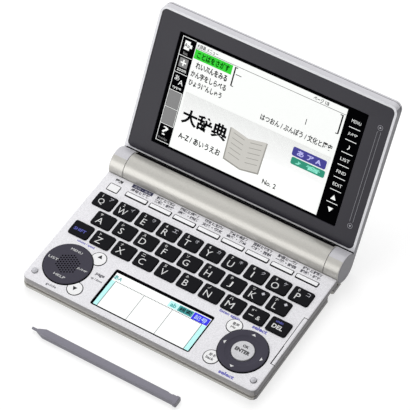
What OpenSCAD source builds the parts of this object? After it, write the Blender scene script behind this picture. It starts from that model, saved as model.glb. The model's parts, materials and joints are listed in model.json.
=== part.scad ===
// Handheld electronic dictionary: a keyboard base and a lid with the main screen, in millimetres.
// The base lies on the desk, its front edge towards -Y, and the lid turns about the battery barrel.

/* [Case] */
// Width of the base and of the lid
body_w = 148; // [148:1:180]
// Depth of the keyboard panel, from the front edge to the barrel
panel_d = 84.35; // [84.35:0.05:105]
// Radius of the base's front corners, seen from above
corner_r = 3.5; // [3:0.5:8]
// How far the lower case stands out past the panel at the front
ledge = 0.6; // [0:0.1:1]
// Thickness of the case walls
wall_t = 1.6; // [1.2:0.1:2]
// Thickness of the keyboard panel
plate_t = 1.5; // [1.2:0.1:2]
// Height at which the two halves of the base case meet
parting_z = 3.8; // [3.2:0.1:4.4]
// Height of the rubber feet below the case
foot_h = 0.6; // [0.4:0.1:1]

/* [Lid] */
// Angle between the lid and the keyboard panel as it stands open
lid_open = 122.1; // [40:0.1:150]
// Gap between the panel and the lid's inner face, measured at the hinge with the lid closed
closed_gap = 4.3; // [4:0.1:6]
// Thickness of the lid beside the barrel
lid_t = 5.4; // [5.2:0.1:7]
// How much thicker the lid gets towards its far edge
lid_swell = 1.2; // [0:0.1:1.5]
// How far the lid's inner face reaches past the front edge of the base when closed
lid_over = 1.15; // [0:0.05:3]
// How far the lid's outer face reaches past its inner face at the far edge
lid_lip = 1.6; // [0:0.1:2]
// Radius of the lid's far corners
lid_corner_r = 4.4; // [3.5:0.1:7]
// Width of the metal-coloured rim round the screen bezel
rim_w = 1.4; // [1.2:0.1:3]
// Width of the visible screen
screen_w = 118; // [90:1:122]
// Height of the visible screen
screen_h = 66.5; // [50:0.5:68]

/* [Keys] */
// Distance between letter keys, side to side
key_pitch = 14.03; // [13.8:0.01:14.1]
// Distance between rows of letter keys
row_pitch = 11.51; // [11:0.01:11.6]
// Width of a letter key
key_w = 12.1; // [10:0.1:12.8]
// Depth of a letter key
key_d = 9.3; // [8:0.1:10.3]
// Height of the letter keys above the panel
key_h = 1.1; // [0.6:0.1:1.2]
// Height of the function, power and round keys above the panel
low_key_h = 0.25; // [0.2:0.05:0.8]
// How far a key goes down
key_travel = 0.5; // [0.3:0.05:0.5]
// Gap round every key
key_gap = 0.3; // [0.25:0.01:0.35]
// Radius of the speaker disc and of the cursor ring
disc_r = 13.5; // [11:0.05:14]
// Radius of the enter key in the middle of the cursor ring
enter_r = 6.25; // [5:0.05:7.5]
// Radius of the four small round keys
round_r = 4.2; // [3.5:0.1:4.3]

/* [Front screen] */
// Width of the small screen in the base
pad_w = 62.5; // [50:0.5:63]
// Depth of the small screen in the base
pad_d = 26; // [20:0.5:26]

/* [Batteries and barrel] */
// Diameter of one dry cell
cell_d = 14.2; // [13.5:0.1:17.5]
// Length of one dry cell without its contact nub
cell_l = 49.2; // [40:0.1:50.5]
// Wall of the barrel round the cells
barrel_wall = 1.4; // [1.2:0.1:2]
// Length of each round cap at the ends of the barrel
cap_w = 9.35; // [8:0.05:12]

/* [Stylus] */
// Length of the stylus
stylus_l = 92.8; // [70:0.1:112]
// Width of the stylus
stylus_w = 5; // [4.2:0.1:6]
// Thickness of the stylus
stylus_h = 4; // [3.4:0.1:4.8]

/* [Earphone socket] */
// Diameter of the earphone plug
plug_d = 3.5; // [2.5:0.1:3.5]
// Depth of the earphone socket
plug_l = 12.5; // [8:0.1:14]

/* [Hidden] */
$fn = 48;
fit = 0.3;
run_fit = 0.05;
thin_gap = 0.1;
board_t = 1;
mat_t = 1.2;
mat_sheet_t = 0.6;
silo_floor = 0.9;
silo_roof = 0.7;
silo_side = 0.65;
silo_fit = 0.25;
floor_t = 1.2;
floor_z = foot_h + floor_t;
silo_z0 = foot_h + silo_floor;
silo_h = stylus_h + 2 * silo_fit;
silo_w = stylus_w + 2 * fit;
board_top = silo_z0 + silo_h + silo_roof;
plate_z = board_top + mat_t + thin_gap;
panel_z = plate_z + plate_t;
key_bottom = plate_z - thin_gap + key_travel + 0.05;
key_top = panel_z + key_h;

cell_play = 0.4;
bay_r = cell_d / 2 + cell_play;
barrel_r = bay_r + barrel_wall;
hinge_y = panel_d + barrel_r;
hinge_z = foot_h + barrel_r;
hinge_gap = 0.4;
cap_x = body_w / 2 - cap_w + fit / 2;
barrel_half = cap_x - fit;
shaft_r = 2.5;
shaft_hold = 6.4;
shaft_run = 6.5;
end_round = 0.7;
// Direction in which the battery cover leaves the barrel, below and behind it
cover_dir = -50;
cover_half_x = cell_l + 2.6;
cover_t = 1;

silo_y = panel_d - 7.2;
silo_x0 = body_w / 2 - stylus_l - 3.2;
notch_w = 6.3;
notch_deep = 2.5;
notch_h = 4;
rear_y = silo_y + silo_w / 2 + silo_side;
slab_back = hinge_y - 4.9;
taper = 1.2;

face_z = -(panel_z + closed_gap - hinge_z);
back_z = face_z - lid_t + 0.2;
rim_z = face_z + 0.2;
lid_top = hinge_y + lid_over;
lid_slope = asin(lid_swell / lid_top);
lid_low = 5.5;
bezel_w = body_w - 2 * rim_w;
bezel_y0 = barrel_r + 0.5;
bezel_y1 = lid_top - rim_w;
bezel_h = bezel_y1 - bezel_y0;
bezel_t = 1.2;
bezel_r = lid_corner_r - rim_w;
bezel_seat = 1.5;
lid_skin = 1.2;
screen_y = (bezel_y0 + bezel_y1) / 2 - 0.35;
screen_lip = 1.6;

row_y = [panel_d - 19.35, panel_d - 19.35 - row_pitch, panel_d - 19.35 - 2 * row_pitch];
row_x = [-63.2, -56.2, -63.2];
slim_w = 13.1;
slim_d = 2.3;
slim_count = 8;
slim_pitch = 15.67;
slim_x = -49.75;
slim_y = panel_d - 8.2;
power_w = 6.5;
power_d = 4.6;
power_pos = [-64.45, panel_d - 8.85];
disc_pos = [-56.4, 19.05];
ring_pos = [55, 19.15];
round_reach = 3.38;
round_turn = 42.72;
round_off = (disc_r + round_reach) * [cos(round_turn), sin(round_turn)];
pad_x = -0.5;
pad_y = 17;
pad_top = panel_z - 0.2;
speaker_r = 10.5;
jack_y = panel_d - 20.35;
jack_z = silo_z0 + 2.7;
jack_w = 5.6;
post_spots = [[-67.3, panel_d - 31.3], [67.3, panel_d - 31.3], [-35.8, 14], [34.6, 14],
              [-30, panel_d - 12]];
foot_spots = [[-60, 8], [60, 8], [-58, panel_d + 0.9], [58, panel_d + 0.9]];
bumper_spots = [[-body_w / 2 + 4.6, 6.5], [body_w / 2 - 4.6, 6.5]];
bumper_r = 1.65;
bumper_h = 1.4;
foot_r = 3.5;
foot_sink = 0.5;
post_r = 2.4;
pilot_r = 1;
screw_r = 0.85;
screw_head_r = 1.8;
screw_head_h = 1.2;
screw_sink = 1.5;
edge_drop = 0.3;

stylus_y = -21.2;
stylus_x0 = -52.6;
front_y = stylus_y - stylus_w / 2 - 0.4;
lean = 180 - lid_open;
function lid_edge_y(y, k) = hinge_y + (y * cos(lid_slope) + k * sin(lid_slope)) * cos(lean)
  - (back_z - y * sin(lid_slope) + k * cos(lid_slope)) * sin(lean);
mid_y = (front_y + max(lid_edge_y(lid_top + lid_lip - taper, 0), lid_edge_y(lid_top + lid_lip, taper))) / 2;

ROWS = [["q", "w", "e", "r", "t", "y", "u", "i", "o", "p"],
        ["a", "s", "d", "f", "g", "h", "j", "k", "l"],
        ["shift", "z", "x", "c", "v", "b", "n", "m", "symbol", "delete"]];
function letter_name(row, i) = str(ROWS[row][i], "_key");
function slim_name(i) = str("function_key_", i + 1);
LETTERS = [for (row = [0:2]) for (i = [0:len(ROWS[row]) - 1]) letter_name(row, i)];
SLIM = [for (i = [0:slim_count - 1]) slim_name(i)];

// The frames: the base's own, with y = 0 at its front edge, and the lid's, with y along the lid
module base_frame() translate([0, -mid_y, 0]) children();
module lid_frame() base_frame() translate([0, hinge_y, hinge_z]) rotate([lean, 0, 0]) children();

// A profile in y and z, drawn out from x0 to x1
module along_x(x0, x1) translate([x0, 0, 0]) rotate([90, 0, 90]) linear_extrude(x1 - x0) children();

// A rectangle with round corners, on its centre
module rounded(w, d, r) {
  square([w - 2 * r, d], center = true);
  square([w, d - 2 * r], center = true);
  for (x = [-1, 1], y = [-1, 1]) translate([x * (w / 2 - r), y * (d / 2 - r)]) circle(r);
}

// A plate from y0 to y1 with two round corners at y1
module two_corners(w, y0, y1, r) {
  translate([-w / 2, y0]) square([w, y1 - y0 - r]);
  translate([-w / 2 + r, y0]) square([w - 2 * r, y1 - y0]);
  for (x = [-1, 1]) translate([x * (w / 2 - r), y1 - r]) circle(r);
}
module base_outline(inset, back, out = 0) {
  mirror([0, 1]) two_corners(body_w - 2 * inset, -back, out - inset, corner_r - inset);
}
module lid_outline(inset, lip)
  two_corners(body_w - 2 * inset, 0, lid_top + lip - inset, lid_corner_r - inset);

// Where the letter, function and round keys stand
module at_letter(row, i) translate([row_x[row] + i * key_pitch, row_y[row]]) children();
module at_slim(i) translate([slim_x + i * slim_pitch, slim_y]) children();
module key_shape(grow) rounded(key_w + 2 * grow, key_d + 2 * grow, 1.2 + grow);
module slim_shape(grow) rounded(slim_w + 2 * grow, slim_d + 2 * grow, 0.35 + grow);
module power_shape(grow) rounded(power_w + 2 * grow, power_d + 2 * grow, 0.35 + grow);
module round_shape(hub, side, grow) difference() {
  translate(hub + [side[0] * round_off[0], side[1] * round_off[1]]) circle(round_r + grow);
  translate(hub) circle(disc_r + 2 * key_gap - grow);
}
ROUND = [[disc_pos, [1, 1]], [disc_pos, [1, -1]], [ring_pos, [-1, 1]], [ring_pos, [-1, -1]]];

module key_holes() {
  for (row = [0:2]) for (i = [0:len(ROWS[row]) - 1]) at_letter(row, i) key_shape(key_gap);
  for (i = [0:slim_count - 1]) at_slim(i) slim_shape(key_gap);
  translate(power_pos) power_shape(key_gap);
  for (k = ROUND) round_shape(k[0], k[1], key_gap);
  translate(disc_pos) circle(disc_r + key_gap + 0.1);
  translate(ring_pos) circle(disc_r + key_gap + 0.1);
}

// A key cap with a slightly smaller top
module cap(top) {
  translate([0, 0, key_bottom]) linear_extrude(top - edge_drop - key_bottom) children(0);
  translate([0, 0, top - edge_drop]) linear_extrude(edge_drop) children(1);
}

// The stylus channel with its finger notch, and the hole for the earphone socket
module silo_cut(past) {
  translate([silo_x0, silo_y - silo_w / 2, silo_z0]) cube([body_w / 2 - silo_x0 + past, silo_w, silo_h]);
  translate([body_w / 2 - notch_deep, silo_y - notch_w / 2, -1])
    cube([notch_deep + past, notch_w, notch_h + 1 + foot_h]);
}
module jack_cut() translate([0, jack_y, jack_z]) rotate([0, -90, 0]) cylinder(r = 2.9, h = body_w);

// The battery cover's frame, with y along the way it comes off
module cover_frame() translate([0, hinge_y, hinge_z]) rotate([cover_dir, 0, 0]) children();
module barrel_rod(r, half) translate([-half, hinge_y, hinge_z]) rotate([0, 90, 0])
  cylinder(r = r, h = 2 * half);

module bottom_case() color("#c8c4be") base_frame() difference() {
  union() {
    difference() {
      hull() {
        translate([0, 0, foot_h]) linear_extrude(0.1) base_outline(taper, slab_back, ledge);
        translate([0, 0, foot_h + taper]) linear_extrude(parting_z - foot_h - taper)
          base_outline(0, slab_back, ledge);
      }
      translate([0, 0, floor_z]) linear_extrude(parting_z) base_outline(wall_t, rear_y);
    }
    barrel_rod(barrel_r, barrel_half);
    translate([-barrel_half, rear_y, foot_h]) cube([2 * barrel_half, hinge_y - 5 - rear_y, plate_z - foot_h]);
    translate([-barrel_half, slab_back - 1, foot_h]) cube([2 * barrel_half, 2.4, 2]);
    translate([silo_x0 - silo_side, silo_y - silo_w / 2 - silo_side, foot_h])
      cube([body_w / 2 - wall_t - fit - silo_x0 + silo_side, silo_w + 2 * silo_side, board_top - foot_h]);
    translate([disc_pos[0], disc_pos[1], floor_z - 0.1]) difference() {
      cylinder(r = speaker_r, h = 0.9);
      translate([0, 0, -1]) cylinder(r = speaker_r - 1.5, h = 3);
    }
    for (p = post_spots) translate([p[0], p[1], floor_z - 0.1])
      cylinder(r = post_r, h = board_top - board_t - floor_z + 0.1 - thin_gap);
  }
  barrel_rod(bay_r, cover_half_x - 0.4);
  cover_frame() translate([-cover_half_x, 0, -cell_d / 2 - fit])
    cube([2 * cover_half_x, barrel_r + 3, cell_d + 2 * fit]);
  for (s = [-1, 1]) translate([s * (barrel_half + fit - shaft_hold), hinge_y, hinge_z]) rotate([0, s * 90, 0])
    cylinder(r = shaft_r + run_fit, h = shaft_hold + 2);
  for (s = [-1, 1]) translate([s * barrel_half, hinge_y, hinge_z]) rotate([0, s * 90, 0])
    cylinder(r = barrel_r + hinge_gap, h = cap_w + 2);
  silo_cut(1);
  jack_cut();
  for (p = foot_spots) translate([p[0], p[1], 0]) cylinder(r = foot_r + thin_gap, h = foot_h + foot_sink);
  for (p = post_spots) translate([p[0], p[1], 0]) {
    cylinder(r = screw_head_r + 0.2, h = foot_h + screw_sink);
    cylinder(r = pilot_r, h = board_top);
  }
}

module top_case() color("#e4e2ea") base_frame() difference() {
  union() {
    difference() {
      translate([0, 0, parting_z]) linear_extrude(panel_z - parting_z) base_outline(0, panel_d - 0.2);
      translate([0, 0, parting_z - 1]) linear_extrude(plate_z - parting_z + 1)
        base_outline(wall_t, rear_y + fit);
    }
    for (p = post_spots) translate([p[0], p[1], board_top + thin_gap])
      cylinder(r = post_r - 0.2, h = plate_z - board_top);
  }
  translate([-barrel_half - fit, rear_y - 1, 0]) cube([2 * barrel_half + 2 * fit, 10, plate_z]);
  translate([0, 0, plate_z - 1]) linear_extrude(plate_t + 2) {
    key_holes();
    translate([pad_x, pad_y]) rounded(pad_w, pad_d, 1);
  }
  for (p = bumper_spots) translate([p[0], p[1], panel_z - 0.6]) cylinder(r = bumper_r + thin_gap, h = 2);
  for (p = post_spots) translate([p[0], p[1], 0]) cylinder(r = screw_r + run_fit, h = plate_z + 0.2);
  silo_cut(1);
  jack_cut();
}

module battery_cover() color("#bfbab2") base_frame() intersection() {
  difference() {
    barrel_rod(barrel_r, cover_half_x - fit);
    barrel_rod(barrel_r - cover_t, cover_half_x);
  }
  cover_frame() translate([-cover_half_x + fit, 0, -cell_d / 2])
    cube([2 * (cover_half_x - fit), barrel_r + 1, cell_d]);
}

module batteries() color("#6f7478") base_frame() for (x = [-cell_l - 1.1, 0.1])
  translate([x, hinge_y, hinge_z]) rotate([0, 90, 0]) {
    cylinder(r = cell_d / 2, h = cell_l);
    cylinder(r = 2.7, h = cell_l + 1);
  }

module circuit_board() color("#2f6b46") base_frame() {
  translate([0, 0, board_top - board_t]) linear_extrude(board_t) difference() {
    base_outline(wall_t + 2 * fit, silo_y - silo_w / 2 - silo_side - fit);
    translate(disc_pos) circle(speaker_r + 2 * fit);
    for (p = post_spots) translate(p) circle(pilot_r + thin_gap);
    translate([-body_w / 2, jack_y - jack_w / 2]) square([plug_l + 1, jack_w]);
  }
  difference() {
    union() {
      translate([-body_w / 2 + wall_t + fit, jack_y - jack_w / 2, floor_z + thin_gap])
        cube([plug_l + 0.9 - wall_t - fit, jack_w, board_top - floor_z - 2 * thin_gap]);
      translate([-body_w / 2 + 3, jack_y, jack_z]) rotate([0, -90, 0]) cylinder(r = 2.5, h = 3);
    }
    translate([-body_w / 2 + plug_l, jack_y, jack_z]) rotate([0, -90, 0])
      cylinder(d = plug_d, h = plug_l + 1);
  }
  for (c = [[-12, 40, 14], [10, 48, 10], [32, 38, 12], [-30, 54, 9]])
    translate([c[0], c[1], board_top - board_t - 1.2]) cube([c[2], c[2], 1.25]);
}

// Rubber sheet with a raised pad under each key
module key_mat() color("#5b6068") base_frame() difference() {
  union() {
    translate([0, 0, board_top]) linear_extrude(mat_sheet_t) difference() {
      translate([-body_w / 2 + wall_t + 1.4, 5]) square([body_w - 2 * wall_t - 2.8, rear_y - 5.4]);
      translate([pad_x, pad_y - 10]) square([pad_w + 1, pad_d + 21], center = true);
    }
    translate([0, 0, board_top + mat_sheet_t - 0.1]) linear_extrude(mat_t - mat_sheet_t + 0.1) {
      for (row = [0:2]) for (i = [0:len(ROWS[row]) - 1]) at_letter(row, i) square([6, 5], center = true);
      for (i = [0:slim_count - 1]) at_slim(i) square([8, 2], center = true);
      translate(power_pos) square([4, 3], center = true);
      for (k = ROUND) translate(k[0] + [k[1][0] * (round_off[0] + 0.6), k[1][1] * (round_off[1] + 0.6)])
        circle(1.6);
      for (a = [0:90:270]) translate(ring_pos) rotate(a) translate([10.3, 0]) circle(1.8);
      for (a = [0:90:270]) translate(disc_pos) rotate(a) translate([12.3, 0]) circle(1);
      translate(ring_pos) circle(2.5);
    }
  }
  translate([disc_pos[0], disc_pos[1], 0]) cylinder(r = speaker_r + 0.5, h = panel_z);
  for (p = post_spots) translate([p[0], p[1], 0]) cylinder(r = post_r + 0.2, h = panel_z);
}

module speaker() color("#3a3a3e") base_frame() translate([disc_pos[0], disc_pos[1], floor_z + 0.8]) {
  cylinder(r = 7, h = 2.6);
  translate([0, 0, 1.4]) cylinder(r = speaker_r, h = 1.8);
  cylinder(r = speaker_r, h = 0.6);
  cylinder(r = speaker_r - 1.6, h = 2);
}

module case_screws() color("#8d8f92") base_frame() for (p = post_spots)
  translate([p[0], p[1], foot_h + 0.2]) {
    cylinder(r = screw_head_r, h = screw_head_h);
    cylinder(r = screw_r, h = plate_z - foot_h - 0.4);
  }

// Four feet under the base and the two bumpers that the closed lid rests on
module rubber_pads() color("#b9bac0") base_frame() {
  for (p = foot_spots) translate([p[0], p[1], 0]) cylinder(r = foot_r, h = foot_h + foot_sink - run_fit);
  for (p = bumper_spots) translate([p[0], p[1], panel_z - 0.55]) {
    cylinder(r = bumper_r, h = bumper_h + 0.2);
    cylinder(r = bumper_r - 0.5, h = bumper_h + 0.55);
  }
}

module front_display() color("#dfeef0") base_frame() translate([pad_x, pad_y, board_top + thin_gap])
  linear_extrude(pad_top - board_top - thin_gap) rounded(pad_w - 2 * fit, pad_d - 2 * fit, 0.8);

// One end cap of the barrel, part of the lid, with a rounded outer edge and a bore for the shaft
module lid_cap(side) mirror([side < 0 ? 1 : 0, 0, 0]) translate([cap_x, 0, 0]) rotate([0, 90, 0]) {
  cylinder(r = barrel_r, h = body_w / 2 - cap_x - end_round);
  rotate_extrude() {
    square([barrel_r - end_round, body_w / 2 - cap_x]);
    translate([barrel_r - end_round, body_w / 2 - cap_x - end_round]) circle(end_round);
  }
}

module lid_back_cover() color("#c9cad0") lid_frame() difference() {
  union() {
    hull() {
      for (k = [0, taper]) translate([0, 0, back_z]) rotate([-lid_slope, 0, 0]) translate([0, 0, k])
        linear_extrude(0.1) lid_outline(taper - k, lid_lip);
      translate([0, 0, rim_z - 0.1]) linear_extrude(0.1) lid_outline(0, 0);
    }
    for (s = [-1, 1]) lid_cap(s);
  }
  translate([0, 0, face_z - bezel_t - run_fit]) linear_extrude(5) translate([0, (bezel_y0 + bezel_y1) / 2])
    rounded(bezel_w, bezel_h, bezel_r);
  translate([0, 0, back_z + lid_skin]) linear_extrude(5) translate([0, (bezel_y0 + bezel_y1) / 2])
    rounded(bezel_w - 2 * bezel_seat, bezel_h - 2 * bezel_seat, bezel_r - bezel_seat);
  translate([-cap_x, 0, 0]) rotate([0, 90, 0]) cylinder(r = barrel_r + hinge_gap, h = 2 * cap_x);
  translate([-cap_x, -5, back_z - 1]) cube([2 * cap_x, lid_low + 5, 20]);
  for (s = [-1, 1]) translate([s * (cap_x - 1), 0, 0]) rotate([0, s * 90, 0])
    cylinder(r = shaft_r + run_fit, h = shaft_run + 1.3);
}

module lid_bezel() color("#46464a") lid_frame() translate([0, 0, face_z - bezel_t]) linear_extrude(bezel_t)
  difference() {
    translate([0, (bezel_y0 + bezel_y1) / 2])
      rounded(bezel_w - 2 * thin_gap, bezel_h - 2 * thin_gap, bezel_r);
    translate([0, screen_y]) square([screen_w, screen_h], center = true);
  }

module main_display() color("#e8eee8") lid_frame() translate([0, screen_y, 0]) {
  translate([0, 0, back_z + lid_skin + thin_gap])
    linear_extrude(face_z - bezel_t - back_z - lid_skin - 2 * thin_gap)
    square([screen_w + 2 * screen_lip, screen_h + 2 * screen_lip], center = true);
  translate([0, 0, face_z - bezel_t - 0.2]) linear_extrude(bezel_t - 0.2)
    square([screen_w - 2 * thin_gap, screen_h - 2 * thin_gap], center = true);
}

module hinge_shafts() color("#9a9ca0") base_frame() for (s = [-1, 1])
  translate([s * (barrel_half + fit - shaft_hold + 0.2), hinge_y, hinge_z]) rotate([0, s * 90, 0])
    cylinder(r = shaft_r, h = shaft_hold + shaft_run - 0.4);

// Flat pen with a thin nib and a flanged tail, lying on the desk in front of the base
module stylus() color("#85828c") base_frame() translate([stylus_x0, stylus_y, 0]) {
  nib_l = 3.5;
  shoulder_l = 4.5;
  head_t = 2;
  mid_h = stylus_h / 2;
  translate([0, 0, mid_h]) rotate([0, 90, 0]) cylinder(r = 0.8, h = nib_l + 1);
  hull() {
    translate([nib_l, 0, mid_h]) rotate([0, 90, 0]) cylinder(r = 1, h = 0.2, $fn = 32);
    along_x(nib_l + shoulder_l, nib_l + shoulder_l + 0.2) translate([0, mid_h])
      rounded(stylus_w, stylus_h, 1.2);
  }
  difference() {
    along_x(nib_l + shoulder_l, stylus_l - head_t) translate([0, mid_h]) rounded(stylus_w, stylus_h, 1.2);
    translate([stylus_l - head_t - 5, stylus_w / 2 - 0.8, -1]) cube([2.6, 2, stylus_h + 2]);
    translate([nib_l + shoulder_l + 4, stylus_w / 2 - 0.6, mid_h - 0.5]) cube([8, 2, 1]);
  }
  along_x(stylus_l - head_t, stylus_l) translate([0, mid_h]) rounded(stylus_w + 0.8, stylus_h, 1.2);
}

module letter_key(row, i) color("#26262a") base_frame() at_letter(row, i) cap(key_top) {
  key_shape(0);
  key_shape(-0.25);
}
module slim_key(i) color("#dcdae2") base_frame() at_slim(i) cap(panel_z + low_key_h) {
  slim_shape(0);
  slim_shape(-0.2);
}
module power_key() color("#e6e5e0") base_frame() translate(power_pos) cap(panel_z + low_key_h) {
  power_shape(0);
  power_shape(-0.2);
}
module round_key(k) color("#ecebef") base_frame() cap(panel_z + low_key_h) {
  round_shape(ROUND[k][0], ROUND[k][1], 0);
  round_shape(ROUND[k][0], ROUND[k][1], -0.2);
}

// Dished four-way ring round the enter key
module cursor_ring() color("#4b4852") base_frame() translate([ring_pos[0], ring_pos[1], 0]) rotate_extrude()
  polygon([[enter_r + key_gap, key_bottom], [disc_r, key_bottom], [disc_r, panel_z + 0.4],
           [disc_r - 0.7, panel_z + 0.9], [disc_r - 3, panel_z + 0.8], [enter_r + 1.4, panel_z + 0.2],
           [enter_r + key_gap, panel_z + 0.2]]);
module enter_key() color("#d6d5d8") base_frame() translate([ring_pos[0], ring_pos[1], 0]) cap(panel_z + 0.8) {
  circle(enter_r);
  circle(enter_r - 0.3);
}

// Pressing disc over the speaker, with its sound holes
module speaker_disc() color("#4b4852") base_frame() translate([disc_pos[0], disc_pos[1], 0]) difference() {
  rotate_extrude() polygon([[0, key_bottom], [disc_r, key_bottom], [disc_r, panel_z + 0.4],
                            [disc_r - 0.6, panel_z + 0.8], [0, panel_z + 0.8]]);
  hole_pitch = 1.75;
  for (i = [-3:3], j = [-3:3]) if (norm([i, j]) * hole_pitch < 5.7)
    translate([i * hole_pitch, j * hole_pitch, key_bottom - 1]) cylinder(r = 0.5, h = 6, $fn = 16);
}

bottom_case();
top_case();
battery_cover();
batteries();
circuit_board();
key_mat();
speaker();
case_screws();
rubber_pads();
front_display();
lid_back_cover();
lid_bezel();
main_display();
hinge_shafts();
stylus();
power_key();
round_key(0);  // page_up_key
round_key(1);  // page_down_key
round_key(2);  // voice_key
round_key(3);  // back_key
cursor_ring();
enter_key();
speaker_disc();
for (i = [0:slim_count - 1]) slim_key(i);
for (row = [0:2]) for (i = [0:len(ROWS[row]) - 1])
  letter_key(row, i);
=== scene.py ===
# Handheld electronic dictionary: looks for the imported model, all shapes worked out in millimetres
import json
import math

import bmesh
import bpy
from mathutils import Matrix, Vector


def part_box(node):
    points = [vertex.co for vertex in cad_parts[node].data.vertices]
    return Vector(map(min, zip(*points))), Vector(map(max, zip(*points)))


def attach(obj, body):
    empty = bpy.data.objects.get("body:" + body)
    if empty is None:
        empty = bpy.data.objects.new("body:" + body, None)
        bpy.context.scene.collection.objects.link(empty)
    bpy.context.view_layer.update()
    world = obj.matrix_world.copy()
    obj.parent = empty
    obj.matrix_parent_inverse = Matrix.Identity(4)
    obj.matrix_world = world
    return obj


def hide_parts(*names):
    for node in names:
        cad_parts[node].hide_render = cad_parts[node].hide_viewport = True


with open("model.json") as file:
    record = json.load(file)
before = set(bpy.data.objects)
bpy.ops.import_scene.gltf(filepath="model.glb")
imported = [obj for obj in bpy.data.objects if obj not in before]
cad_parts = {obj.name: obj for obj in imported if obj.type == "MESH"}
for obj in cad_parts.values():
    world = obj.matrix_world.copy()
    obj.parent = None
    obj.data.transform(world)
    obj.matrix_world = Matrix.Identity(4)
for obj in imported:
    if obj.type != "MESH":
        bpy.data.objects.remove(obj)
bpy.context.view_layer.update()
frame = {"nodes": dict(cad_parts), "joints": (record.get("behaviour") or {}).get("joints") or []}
print("frame loaded:", len(frame["nodes"]), "nodes")

mm = 0.001
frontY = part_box("top_case")[0].y  # front edge of the keyboard panel
hinge = next(joint for joint in frame["joints"] if joint["name"] == "lid_hinge")
lidLean = math.radians(57.9)  # how far the open lid leans back
baseFrame = Matrix.Translation((0, frontY, 0)) @ Matrix.Scale(mm, 4)
lidFrame = Matrix.Translation(hinge["pos_m"]) @ Matrix.Rotation(lidLean, 4, "X") @ Matrix.Scale(mm, 4)


# shader maths

class Value:  # a number or colour on its way through a material
    def __init__(self, finish, socket):
        self.finish = finish
        self.socket = socket

    def __add__(self, other):
        return self.finish.math("ADD", self, other)

    def __mul__(self, other):
        return self.finish.math("MULTIPLY", self, other)

    def __lt__(self, other):
        return self.finish.math("LESS_THAN", self, other)

    __radd__ = __add__
    __rmul__ = __mul__


class Finish:  # one material with the nodes that make it
    def __init__(self, name, sockets):
        self.material = bpy.data.materials.new(name)
        self.material.use_nodes = True
        self.nodes = self.material.node_tree.nodes
        self.shader = self.nodes["Principled BSDF"]
        self.set(sockets)

    def set(self, sockets):
        for name, value in sockets.items():
            self.plug(self.shader.inputs[name], value)
        return self.material

    def plug(self, socket, value):
        if isinstance(value, Value):
            self.material.node_tree.links.new(value.socket, socket)
        elif socket.type == "RGBA":
            socket.default_value = (*value, 1)
        else:
            socket.default_value = value

    def node(self, kind, settings=None, sockets=None, output=0):
        made = self.nodes.new("ShaderNode" + kind)
        for name, value in (settings or {}).items():
            if name == "stops":
                while len(made.color_ramp.elements) < len(value):
                    made.color_ramp.elements.new(1)
                for element, (position, colour) in zip(made.color_ramp.elements, value):
                    element.position = position
                    element.color = (*colour, 1)
            else:
                setattr(made, name, value)
        for name, value in (sockets or {}).items():
            self.plug(made.inputs[name], value)
        return Value(self, made.outputs[output])

    def math(self, operation, first, second=0.0):
        return self.node("Math", {"operation": operation}, {0: first, 1: second})

    def mix(self, factor, first, second):
        return self.node("Mix", {"data_type": "RGBA"}, {0: factor, 6: first, 7: second}, 2)

    def place(self):
        return self.node("TexCoord", output="Object")

    def along(self, direction):  # distance in metres along a direction of the piece
        return self.node("VectorMath", {"operation": "DOT_PRODUCT"}, {0: self.place(), 1: direction}, "Value")

    def noise(self, scale, detail=2.0):
        return self.node("TexNoise", None, {"Vector": self.place(), "Scale": scale, "Detail": detail})

    def bump(self, height, strength, depth):
        return self.node("Bump", None, {"Strength": strength, "Distance": depth, "Height": height})


def shade(red, green, blue):  # a screen colour from 0 to 255 as the shader takes it
    return tuple(c / 3294.6 if c < 11 else ((c / 255 + 0.055) / 1.055) ** 2.4 for c in (red, green, blue))


def mouldedPlastic(name, colour, roughness=0.5, grainSize=0.35, depth=0.02, coat=0.0, gloss=0.5):
    plastic = Finish(name, {"Coat Weight": coat, "Coat Roughness": 0.15, "Specular IOR Level": gloss})
    grain = plastic.noise(1 / (grainSize * mm), 3)
    cloud = plastic.noise(45, 2)
    darker = tuple(0.86 * c for c in colour)
    lighter = tuple(min(1.0, 1.1 * c) for c in colour)
    return plastic.set({"Base Color": plastic.mix(0.5 * grain + 0.5 * cloud, darker, lighter),
                        "Roughness": roughness - 0.06 + 0.12 * cloud,
                        "Normal": plastic.bump(grain, 0.3, depth * mm)})


def metallicPaint(name, colour, metallic=0.35, roughness=0.34, flake=0.3, sparkle=0.14, lower=None):
    paint = Finish(name, {"Metallic": metallic, "Coat Weight": 0.15, "Coat Roughness": 0.25})
    cells = paint.node("TexVoronoi", None, {"Vector": paint.place(), "Scale": 1 / (flake * mm)}, "Color")
    flakes = paint.node("SeparateColor", None, {"Color": cells}, "Red")
    cloud = paint.noise(30, 2)
    glint = 0.75 * flakes + 0.25 * cloud
    dark, bright = (tuple(min(1.0, c * share) for c in colour) for share in (1 - sparkle, 1 + sparkle))
    body = paint.mix(glint, dark, bright)
    if lower:  # lighter towards the bottom of the case: the flank's darkening up towards the panel edge is painted shade
        height = paint.node("MapRange", None,
                            {"Value": paint.along((0, 0, 1)), "From Min": 4.0 * mm, "From Max": 9.0 * mm})
        body = paint.mix(height, lower, body)
    return paint.set({"Base Color": body,
                      "Roughness": roughness - 0.05 + 0.08 * cloud + 0.06 * flakes,
                      "Normal": paint.bump(flakes, 0.08, 0.012 * mm)})


def printedInk(name, colour):
    ink = Finish(name, {"Specular IOR Level": 0.3})
    wear = ink.noise(2600, 3)
    faded = tuple(0.82 * c + 0.02 for c in colour)
    return ink.set({"Base Color": ink.mix(wear, colour, faded), "Roughness": 0.5 + 0.15 * wear})


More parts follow.
